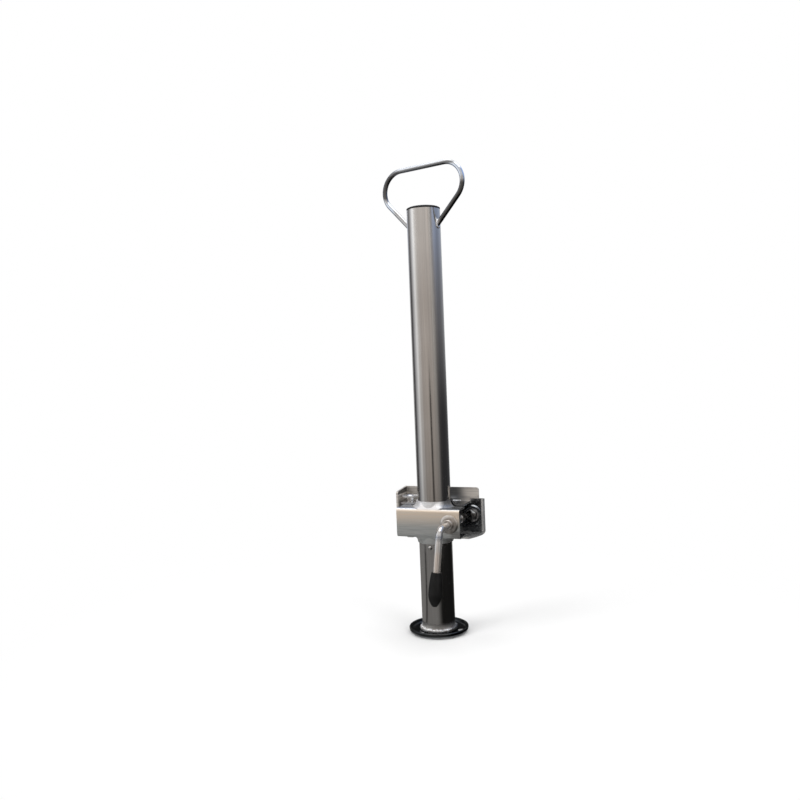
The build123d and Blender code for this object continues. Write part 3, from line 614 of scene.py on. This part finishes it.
def polished_handle():
    """The handle's round bar, polished, with painted reflections in blotches, dark on the right arm and left
    bend and blue on the bends, and painted shade along the bar's lower side.
    """
    paint = Paint("zinc_handle")
    x, _, z = paint.place()
    down = HANDLE_TOP - z
    # Painted reflections: light and dark blotches, dark patches and blue sky patches, and painted shade
    # below.
    reflection_blotches = paint.noise(13.0, 2.0, 0.4, shift=2.3)
    skin = paint.noise(420.0, 3.0, 0.6, shift=4.0)
    fine = paint.noise(2400.0, 2.0, 0.6, shift=9.0)
    nicks = paint.noise(820.0, 2.0, shift=6.0).step(0.69, 0.76)
    ragged_down = down + 0.01 * reflection_blotches
    crest = down.below(*CREST_DOWN)
    underside_shade = down.span(UNDERSIDE_START, UNDERSIDE_END)
    right_arm_reflection = x.step(*RIGHT_ARM_ACROSS) * ragged_down.step(*RIGHT_ARM_DOWN)
    left_bend_reflection = (x + 0.01 * reflection_blotches).below(*LEFT_BEND_ACROSS) * down.step(*LEFT_BEND_START)
    left_bend_reflection = left_bend_reflection * ragged_down.below(*LEFT_BEND_END)
    lower_bend_sky = x.below(*LOWER_BEND_ACROSS) * down.step(*LEFT_BEND_END)
    upper_bend_sky = x.step(*UPPER_BEND_ACROSS) * down.span(UPPER_BEND_START, UPPER_BEND_END)
    colour = paint.coats(
        paint.blend(reflection_blotches.contrast(), grey(0.46), HANDLE_REFLECTION_LIGHT),
        (0.6 * lower_bend_sky.at_least(upper_bend_sky), HANDLE_SKY_REFLECTION),
        (0.94 * right_arm_reflection.at_least(left_bend_reflection), grey(0.09)),
        (0.66 * underside_shade, grey(0.08)),
        (0.3 * nicks, grey(0.25, 0.02)),
    )
    rough = 0.1 + 0.06 * reflection_blotches + 0.05 * (fine - 0.5) + 0.1 * nicks + 0.2 * crest
    normal = paint.bump(fine, 0.00002, 0.3, paint.bump(skin, 0.00008, 0.2))
    return paint.principled(Base_Color=colour, Metallic=1.0, Roughness=rough, Normal=normal)


def threaded_bar():
    """The bent bar: polished along its arm, with a painted reflection at its bend and the screw's thread
    inside the clamp.
    """
    paint = Paint("zinc_bar")
    x, y, z = paint.place()
    rise = z - CLAMP_Z
    inside = y.step(*SCREW_START)
    turn = rise.angle_from(x - SPINDLE_X) / FULL_TURN
    ridge = ((y / SCREW_PITCH + turn).fraction() - 0.5).size() * 2.0
    smear = paint.noise(45.0, 4.0, 0.55, shift=3.0)
    skin = paint.noise(420.0, 3.0, 0.6, shift=6.0)
    nicks = paint.noise(900.0, 2.0, shift=8.0).step(0.70, 0.77)
    shoulder = rise.step(*SHOULDER_RISE) * (1.0 - inside)
    # Painted reflection: a dark blue patch round the bar's bend.
    bend = rise.band(LEVER_BEND_RISE, LEVER_BEND_HALF)
    colour = paint.coats(
        paint.blend(smear.contrast(), grey(0.8, 0.02), grey(0.95, 0.015)),
        (rise.below(*LEVER_SAND_RISE), LEVER_SAND),
        (0.85 * shoulder, grey(0.5, 0.05)),
        (bend * (0.5 + 0.5 * smear), LEVER_BEND_REFLECTION),
        (0.3 * nicks, grey(0.4, 0.02)),
    )
    metal = 0.86 + 0.14 * y.step(*LEVER_DULL_DEPTH)
    rough = 0.12 + 0.07 * smear + 0.08 * inside + 0.1 * nicks + 0.14 * bend
    normal = paint.bump(ridge * inside, 0.0008, 0.9, paint.bump(skin, 0.00008, 0.15))
    return paint.principled(Base_Color=colour, Metallic=metal, Roughness=rough, Normal=normal)


def weld_metal():
    """Bright weld metal, duller in its troughs, with painted shade at the foot's right."""
    paint = Paint("weld_metal")
    x, y, z = paint.place()
    clouds = paint.noise(260.0, 4.0, 0.6, shift=2.0)
    grain = paint.noise(1800.0, 3.0, 0.6, shift=5.0)
    # Painted shade on the bead's right side at the foot.
    towards = WELD_SHADE_TOWARDS[0] * x + WELD_SHADE_TOWARDS[1] * y
    foot_side_shade = (towards + 0.008 * clouds).step(*WELD_SHADE_OUT) * z.below(*WELD_SHADE_RISE)
    colour = paint.coats(
        paint.blend(clouds.step(0.36, 0.62), grey(0.42, 0.04), grey(0.9, -0.015)),
        (0.85 * foot_side_shade, grey(0.07, -0.04)),
    )
    rough = 0.26 + 0.16 * clouds + 0.06 * grain
    normal = paint.bump(grain, 0.00005, 0.4)
    return paint.principled(Base_Color=colour, Metallic=1.0, Roughness=rough, Normal=normal)


def moulded_plastic(name, shade, rough, grain):
    """Black moulded plastic with a fine spark-eroded grain and faint handling marks."""
    paint = Paint(name)
    texture = paint.noise(grain, 3.0, 0.65, shift=1.0)
    clouds = paint.noise(70.0, 4.0, 0.55, shift=4.0)
    marks = paint.noise(700.0, 2.0, 0.6, stretch=(1.0, 1.0, 0.05), shift=6.0).step(0.64, 0.72)
    colour = paint.coats(
        paint.blend(clouds.contrast(0.15), grey(shade * 0.75), grey(shade * 1.3, 0.01)),
        (0.25 * marks, grey(shade * 2.6)),
    )
    roughness = rough + 0.1 * (clouds - 0.5) + 0.08 * (texture - 0.5)
    normal = paint.bump(texture, 0.00006, 0.5)
    return paint.principled(Base_Color=colour, Roughness=roughness, Specular_IOR_Level=0.15, Normal=normal)


def spring_wire():
    """Dark oiled spring wire."""
    paint = Paint("spring_steel")
    clouds = paint.noise(300.0, shift=1.0)
    fine = paint.noise(2600.0, 2.0, shift=5.0)
    colour = paint.blend(clouds, grey(0.2, 0.02), grey(0.42))
    rough = 0.28 + 0.12 * clouds
    normal = paint.bump(fine, 0.00003, 0.4)
    return paint.principled(Base_Color=colour, Metallic=1.0, Roughness=rough, Normal=normal)


def give(material, *names):
    """Assigns one material to CAD nodes."""
    for name in names:
        data = nodes[name].data
        data.materials.clear()
        data.materials.append(material)


def add_object(name, data):
    """Puts an object into the scene, at the world's origin."""
    made = bpy.data.objects.new(name, data)
    bpy.context.scene.collection.objects.link(made)
    return made


def hang(name, mesh, body, replaced):
    """Adds a piece that rides on a body and stands for a CAD node."""
    piece = add_object(name, mesh)
    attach(piece, body)
    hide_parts(replaced)


class Tree:
    """A geometry node tree with named inputs. node() is the only place that makes nodes."""

    SOCKETS = {
        bpy.types.Material: "NodeSocketMaterial",
        float: "NodeSocketFloat",
        int: "NodeSocketInt",
        tuple: "NodeSocketVector",
    }

    def __init__(self, name, inputs):
        self.group = bpy.data.node_groups.new(name, "GeometryNodeTree")
        face = self.group.interface
        face.new_socket("Shape", in_out="INPUT", socket_type="NodeSocketGeometry")
        for label, value in inputs.items():
            kind = self.SOCKETS[type(value)]
            face.new_socket(label, in_out="INPUT", socket_type=kind).default_value = value
        face.new_socket("Result", in_out="OUTPUT", socket_type="NodeSocketGeometry")
        self.given = self.node("NodeGroupInput").node.outputs

    def node(self, kind, inputs=None, out=0, **settings):
        """Makes a node: first its settings, then the values and links of its sockets."""
        made = self.group.nodes.new(kind)
        for key, value in settings.items():
            setattr(made, key, value)
        for key, value in (inputs or {}).items():
            if isinstance(value, bpy.types.NodeSocket):
                self.group.links.new(value, made.inputs[key])
            else:
                made.inputs[key].default_value = value
        return made.outputs[out] if made.outputs else None

    def finish(self, geometry):
        """Makes instances real, smooths them and gives them the material input."""
        real = self.node("GeometryNodeRealizeInstances", {"Geometry": geometry})
        smooth = self.node("GeometryNodeSetShadeSmooth", {"Geometry": real})
        finish = {"Geometry": smooth, "Material": self.given["Finish"]}
        dressed = self.node("GeometryNodeSetMaterial", finish)
        self.node("NodeGroupOutput", {"Result": dressed})

    def run(self, name, points, edges, values):
        """Runs the tree over edge paths and gives the result as a plain mesh."""
        data = bpy.data.meshes.new(name + "_path")
        data.from_pydata(points, edges, [])
        source = add_object(name + "_path", data)
        modifier = source.modifiers.new("shape", "NODES")
        modifier.node_group = self.group
        identifiers = {item.name: item.identifier for item in self.group.interface.items_tree}
        for label, value in values.items():
            modifier[identifiers[label]] = value
        evaluated = source.evaluated_get(bpy.context.evaluated_depsgraph_get())
        mesh = bpy.data.meshes.new_from_object(evaluated)
        bpy.data.objects.remove(source)
        return mesh


def bead_tree(material):
    """Overlapping drops of weld metal along an edge path."""
    values = {
        "Finish": material,
        "Step": 0.0011,
        "Radius": 0.004,
        "Drop Length": 0.0017,
        "Uneven": 0.1,
        "Seed": 3,
    }
    tree = Tree("weld_bead", values)
    given = tree.given
    node = tree.node
    curve = node("GeometryNodeMeshToCurve", {"Mesh": given["Shape"]})
    spacing = {"Curve": curve, "Length": given["Step"]}
    spaced = node("GeometryNodeResampleCurve", spacing, mode="LENGTH")
    ball = node("GeometryNodeMeshUVSphere", {"Segments": 20, "Rings": 12, "Radius": 1.0})
    tangent = node("GeometryNodeInputTangent")
    turned = node("FunctionNodeAlignRotationToVector", {"Vector": tangent}, axis="Z")
    low = node("ShaderNodeMath", {0: 1.0, 1: given["Uneven"]}, operation="SUBTRACT")
    high = node("ShaderNodeMath", {0: 1.0, 1: given["Uneven"]}, operation="ADD")
    limits = {2: low, 3: high, 8: given["Seed"]}
    share = node("FunctionNodeRandomValue", limits, out=1, data_type="FLOAT")
    wide = node("ShaderNodeMath", {0: given["Radius"], 1: share}, operation="MULTIPLY")
    size = node("ShaderNodeCombineXYZ", {0: wide, 1: wide, 2: given["Drop Length"]})
    scattered = {"Points": spaced, "Instance": ball, "Rotation": turned, "Scale": size}
    tree.finish(node("GeometryNodeInstanceOnPoints", scattered))
    return tree


def lay_bead(tree, name, paths, values, body, replaced):
    """Lays a weld bead along several open paths, in the place of a CAD node."""
    points = []
    edges = []
    for path in paths:
        start = len(points)
        points += path
        edges += [(index, index + 1) for index in range(start, start + len(path) - 1)]
    hang(name, tree.run(name, points, edges, values), body, replaced)


def foot_ring(steps=180):
    """Points round the tube's foot, with the first one again at the end."""
    radius = TUBE_RADIUS + FOOT_BEAD_OUT
    z = FOOT_FLOOR + FOOT_BEAD_RISE
    turns = [FULL_TURN * step / steps for step in range(steps + 1)]
    return [(radius * math.cos(turn), radius * math.sin(turn), z) for turn in turns]


def arm_ring(side, steps=60):
    """Points where an arm of the handle meets the tube, with the first one again at the end."""
    slant = math.radians(ARM_SLANT)
    turn = math.radians(HANDLE_TURN)
    points = []
    for step in range(steps + 1):
        angle = FULL_TURN * step / steps
        across = ARM_RADIUS * math.cos(angle)
        y = ARM_RADIUS * math.sin(angle)
        out = math.sqrt(TUBE_RADIUS**2 - y**2)
        along = (out - TUBE_RADIUS - across * math.cos(slant)) / math.sin(slant)
        x = side * out
        z = STAND_TOP - ARM_FOOT_DROP - across * math.sin(slant) + along * math.cos(slant)
        turned_x = x * math.cos(turn) - y * math.sin(turn)
        turned_y = x * math.sin(turn) + y * math.cos(turn)
        points.append((turned_x, turned_y, z))
    return points


def shell_seams():
    """The four short seams behind the rear shell, each from its left end to its right end."""
    y = SEAM_BOX[1].y - SEAM_BACK_INSET
    heights = (SEAM_BOX[0].z + SEAM_INSET, SEAM_BOX[1].z - SEAM_INSET)
    return [[(x - SEAM_HALF, y, z), (x + SEAM_HALF, y, z)] for z in heights for x in (-SEAM_X, SEAM_X)]


def make_weld_beads(material):
    """The beads round the tube's foot, round the handle's arms and behind the rear shell."""
    tree = bead_tree(material)
    lay_bead(tree, "foot_weld_bead", [foot_ring()], FOOT_DROPS, "prop", "foot_weld")
    lay_bead(tree, "handle_weld_beads", [arm_ring(1), arm_ring(-1)], ARM_DROPS, "prop", "handle_welds")
    lay_bead(tree, "shell_weld_beads", shell_seams(), SEAM_DROPS, "holder", "shell_welds")


def make_spring(material):
    """The round wire coil round the spindle, from the jaw's washer to the bush."""
    low, high = SPRING_BOX
    values = {
        "Finish": material,
        "Turns": SPRING_TURNS,
        "Coil Radius": (high.x - low.x) / 2 - SPRING_WIRE_RADIUS,
        "Length": high.y - low.y - 2 * SPRING_WIRE_RADIUS,
        "Wire Radius": SPRING_WIRE_RADIUS,
        "Place": (SPINDLE_X, high.y - SPRING_WIRE_RADIUS, CLAMP_Z),
    }
    tree = Tree("wire_coil", values)
    given = tree.given
    spiral = {
        "Resolution": 48,
        "Rotations": given["Turns"],
        "Start Radius": given["Coil Radius"],
        "End Radius": given["Coil Radius"],
        "Height": given["Length"],
    }
    section = {"Resolution": 14, "Radius": given["Wire Radius"]}
    wire = {
        "Curve": tree.node("GeometryNodeCurveSpiral", spiral),
        "Profile Curve": tree.node("GeometryNodeCurvePrimitiveCircle", section),
        "Fill Caps": True,
    }
    lying = {
        "Geometry": tree.node("GeometryNodeCurveToMesh", wire),
        "Translation": given["Place"],
        "Rotation": (math.radians(90), 0.0, 0.0),
    }
    tree.finish(tree.node("GeometryNodeTransform", lying))
    mesh = tree.run("spring_coil", [(0.0, 0.0, 0.0)], [], {})
    hang("spring_coil", mesh, "holder", "spreader_spring")


def thread_ridge(x, z, start, end):
    """Vertices and faces of one screw ridge along Y, which runs out at both ends."""
    count = int((end - start) / SCREW_PITCH * RIDGE_STEPS)
    run_out = RIDGE_STEPS * RIDGE_RUN_OUT
    root = THREAD_ROOT - RIDGE_SUNK
    vertices = []
    for step in range(count + 1):
        angle = FULL_TURN * step / RIDGE_STEPS
        middle = start + SCREW_PITCH * step / RIDGE_STEPS
        grown = min(1.0, step / run_out, (count - step) / run_out)
        crest = root + (THREAD_RADIUS - root) * max(grown, RIDGE_LEAST)
        section = ((root, -RIDGE_FOOT), (crest, -RIDGE_FLAT), (crest, RIDGE_FLAT), (root, RIDGE_FOOT))
        for radius, lean in section:
            y = middle + lean * SCREW_PITCH
            vertices.append((x + radius * math.cos(angle), y, z + radius * math.sin(angle)))
    faces = [(3, 2, 1, 0)]
    for step in range(count):
        for side in range(4):
            a = 4 * step + side
            b = 4 * step + (side + 1) % 4
            faces.append((a, b, b + 4, a + 4))
    last = 4 * count
    faces.append((last, last + 1, last + 2, last + 3))
    return vertices, faces


def narrow_shanks(solid, bolt_places, bolt_z, start):
    """Draws the bolts in to their thread's root behind the back plate."""
    for vertex in solid.verts:
        x = min(bolt_places, key=lambda place: abs(place - vertex.co.x))
        out = math.hypot(vertex.co.x - x, vertex.co.z - bolt_z)
        if vertex.co.y > start - THREAD_MARGIN and out > THREAD_ROOT:
            share = THREAD_ROOT / out
            vertex.co.x = x + (vertex.co.x - x) * share
            vertex.co.z = bolt_z + (vertex.co.z - bolt_z) * share


def make_bolts(material):
    """The mounting bolts with their threads cut behind the back plate."""
    solid = bmesh.new()
    solid.from_mesh(nodes["mounting_bolts"].data)
    bmesh.ops.remove_doubles(solid, verts=solid.verts, dist=MERGE_DISTANCE)
    low, high = BOLT_BOX
    bolt_z = (low.z + high.z) / 2
    corner = (high.z - low.z) / 2 * math.cos(math.radians(30))
    bolt_places = (low.x + corner, high.x - corner)
    start = PLATE_BOX[1].y + THREAD_START
    narrow_shanks(solid, bolt_places, bolt_z, start)
    for x in bolt_places:
        vertices, faces = thread_ridge(x, bolt_z, start + RIDGE_START_GAP, high.y - RIDGE_END_GAP)
        made = [solid.verts.new(place) for place in vertices]
        for face in faces:
            solid.faces.new([made[index] for index in face])
    bmesh.ops.recalc_face_normals(solid, faces=solid.faces)
    mesh = bpy.data.meshes.new("threaded_bolts")
    solid.to_mesh(mesh)
    solid.free()
    for polygon in mesh.polygons:
        polygon.use_smooth = True
    mesh.set_sharp_from_angle(angle=math.radians(SHARP_DEGREES))
    mesh.materials.clear()
    mesh.materials.append(material)
    hang("threaded_bolts", mesh, "holder", "mounting_bolts")


def dress_nodes():
    """Gives every solid its finish, and returns those that later pieces share."""
    hardware = plated_metal("zinc_hardware", light=0.7, dark=0.55, rough=0.2, warmth=0.02)
    bolts = plated_metal("dark_bolts", light=0.15, dark=0.08, rough=0.22, warmth=-0.02)
    satin = plated_metal("satin_washers", light=0.86, dark=0.74, rough=0.36)
    shell = plated_metal(
        "zinc_shell",
        light=0.8,
        dark=0.64,
        rough=0.2,
        grain=260.0,
        metal=0.8,
        hollow_half=SHELL_HOLLOW_HALF,
    )
    weld = weld_metal()
    coil = spring_wire()
    give(drawn_tube(), "prop_tube")
    give(foot_painted_dark(), "foot_plate")
    give(rolled_plate(), "back_plate")
    give(shell, "rear_shell")
    give(brushed_panel(), "front_jaw")
    give(polished_handle(), "carry_handle")
    give(threaded_bar(), "clamp_lever")
    give(turned_rings(), "lever_collar", "thrust_washer", "inner_washer", "spindle_bush")
    give(hardware, "stop_pin", "hinge_pin", "hinge_sleeve", "hinge_nut")
    give(bolts, "mounting_bolts")
    give(satin, "hinge_washers", "mounting_washers")
    give(weld, "foot_weld", "handle_welds", "shell_welds")
    give(moulded_plastic("cap_plastic", shade=0.012, rough=0.5, grain=2200.0), "tube_cap")
    give(moulded_plastic("grip_plastic", shade=0.007, rough=0.42, grain=2600.0), "lever_grip")
    give(coil, "spreader_spring")
    return weld, coil, bolts


def view_turn(degrees):
    """The world angle of a direction so many degrees to the right of the camera's, seen from above."""
    return math.radians(VIEW_AZIMUTH - 90 + degrees)


def view_share(paint):
    """A point's place round the stand as a share of a turn, from straight behind it by way of its left."""
    x, y, _ = paint.place()
    return (y.angle_from(x) / FULL_TURN - view_turn(-180) / FULL_TURN).fraction()


def seen_directly(paint):
    """1 for what the camera, polished metal and clear material see, and 0 for diffuse light."""
    ray = "ShaderNodeLightPath"
    seen = paint.node(ray, out="Is Camera Ray") + paint.node(ray, out="Is Glossy Ray")
    return (seen + paint.node(ray, out="Is Transmission Ray")).clamped()


def stage_mesh(name, points, faces, material):
    """Adds a mesh of the studio, which isn't part of the stand."""
    data = bpy.data.meshes.new(name)
    data.from_pydata(points, [], faces)
    data.materials.append(material)
    made = add_object(name, data)
    return made


def reflected_ring(name, rims, material):
    """A ring between two rims, each a radius and a height, that only shows in polished metal."""
    turns = [view_turn(360.0 * step / RING_STEPS) for step in range(RING_STEPS)]
    points = []
    for radius, height in rims:
        points += [(radius * math.cos(turn), radius * math.sin(turn), height) for turn in turns]
    faces = []
    for step in range(RING_STEPS):
        following = (step + 1) % RING_STEPS
        faces.append((step, following, RING_STEPS + following, RING_STEPS + step))
    ring = stage_mesh(name, points, faces, material)
    ring.visible_camera = False
    ring.visible_diffuse = False
    ring.visible_shadow = False
    ring.visible_transmission = False


def make_floor():
    """A pale floor that keeps the stand's shadow near it and runs out into white."""
    paint = Paint("pale_floor")
    x, y, _ = paint.place()
    faded = seen_directly(paint) * distance(x, y).step(*FLOOR_FADE)
    matt = paint.node("ShaderNodeBsdfDiffuse", {"Color": grey(FLOOR_SHADE)})
    white = paint.node("ShaderNodeEmission", {"Color": grey(1.0)})
    material = paint.surface(paint.node("ShaderNodeMixShader", {0: faded, 1: matt, 2: white}))
    half = FLOOR_HALF
    corners = [(-half, -half, 0.0), (half, -half, 0.0), (half, half, 0.0), (-half, half, 0.0)]
    stage_mesh("floor", corners, [(0, 1, 2, 3)], material)


def wall_level(share, right, z, high):
    """How bright the wall is: dimmer low down and on the right, with dark stripes and a few glints."""
    level = 0.42 + 0.58 * z.step(*WALL_LOW) + 0.32 * high
    glints = sum(strength * share.band(centre, half) for strength, centre, half in GLINTS)
    behind = sum(share.band(centre, half) for centre, half in BEHIND_STRIPES).step(0.0, 0.6)
    dimmings = (
        right * (0.7 - 0.7 * z.step(*WALL_RIGHT_LOW) - 1.15 * high),
        0.9 * share.band(*LEFT_STRIPE) * (1.0 - high),
        share.band(*FRONT_STRIPE) * z.below(*FRONT_STRIPE_TOP),
        0.93 * behind * z.below(*BEHIND_TOP),
    )
    for dimming in dimmings:
        level = level * (1.0 - dimming)
    return level * (1.0 + high * glints)


def make_reflection_wall():
    """A round wall that only shows in polished metal: darker on the right and bright on the left."""
    paint = Paint("reflection_wall")
    _, _, z = paint.place()
    share = view_share(paint)
    high = z.step(*WALL_HIGH)
    front = share.span(*WALL_FRONT)
    right = share.span(*WALL_RIGHT)
    colour = paint.coats(
        paint.node("ShaderNodeValToRGB", {0: share}, stops=WALL_COLOURS),
        (0.6 * front * high, WALL_FRONT_GREY),
        (0.85 * right * high, WALL_NIGHT_BLUE),
        (0.7 * share.below(*WALL_BACK_LEFT) * high, WALL_SKY_BLUE),
    )
    material = paint.glow(colour, wall_level(share, right, z, high))
    rims = ((WALL_RADIUS, WALL_FOOT), (WALL_RADIUS, WALL_HEIGHT))
    reflected_ring("reflection_wall", rims, material)


def make_floor_card():
    """A dark card on the floor that only shows in polished metal."""
    paint = Paint("floor_card")
    share = view_share(paint)
    level = (0.21 - 0.2 * share.span(*CARD_RIGHT)) * (1.0 - 0.95 * share.band(*CARD_STRIPE))
    rims = ((WALL_RADIUS, CARD_HEIGHT), (FOOT_RADIUS + CARD_GAP, CARD_HEIGHT))
    reflected_ring("floor_card", rims, paint.glow(grey(1.0, 0.02)[:3], level))


def make_lights():
    """A large soft box on the left, a weaker one on the right and one overhead."""
    for name, place, width, height, power in SOFT_BOXES:
        data = bpy.data.lights.new(name, "AREA")
        data.shape = "RECTANGLE"
        data.size = width
        data.size_y = height
        data.energy = power
        light = add_object(name, data)
        light.location = place
        aim = Vector(LIGHT_TARGET) - Vector(place)
        light.rotation_euler = aim.to_track_quat("-Z", "Y").to_euler()


def make_world():
    """White for what the camera and polished metal see, and an even grey light for the rest."""
    paint = Paint("studio", kind="worlds")
    strength = WORLD_FILL + (1.0 - WORLD_FILL) * seen_directly(paint)
    background = paint.node("ShaderNodeBackground", {"Color": grey(1.0), "Strength": strength})
    bpy.context.scene.world = paint.surface(background)


def make_camera():
    """A camera that looks a little down and is rolled a little."""
    data = bpy.data.cameras.new("camera")
    data.sensor_width = SENSOR_MM
    data.lens = FOCAL_PIXELS * SENSOR_MM / PICTURE_PIXELS
    camera = add_object("camera", data)
    yaw, pitch, roll = (math.radians(angle) for angle in (CAMERA_YAW, CAMERA_PITCH, CAMERA_ROLL))
    level_right = Vector((math.cos(yaw), math.sin(yaw), 0))
    level_forward = Vector((-math.sin(yaw), math.cos(yaw), 0))
    tipped_up = Vector((0, 0, 1)) * math.cos(pitch) + level_forward * math.sin(pitch)
    right = level_right * math.cos(roll) - tipped_up * math.sin(roll)
    up = level_right * math.sin(roll) + tipped_up * math.cos(roll)
    turned = Matrix((right, up, right.cross(up))).transposed().to_4x4()
    camera.matrix_world = Matrix.Translation(CAMERA_PLACE) @ turned
    bpy.context.scene.camera = camera


bpy.context.scene.view_settings.view_transform = "Standard"
weld_finish, coil_finish, bolt_finish = dress_nodes()
make_weld_beads(weld_finish)
make_spring(coil_finish)
make_bolts(bolt_finish)
make_floor()
make_reflection_wall()
make_floor_card()
make_lights()
make_world()
make_camera()
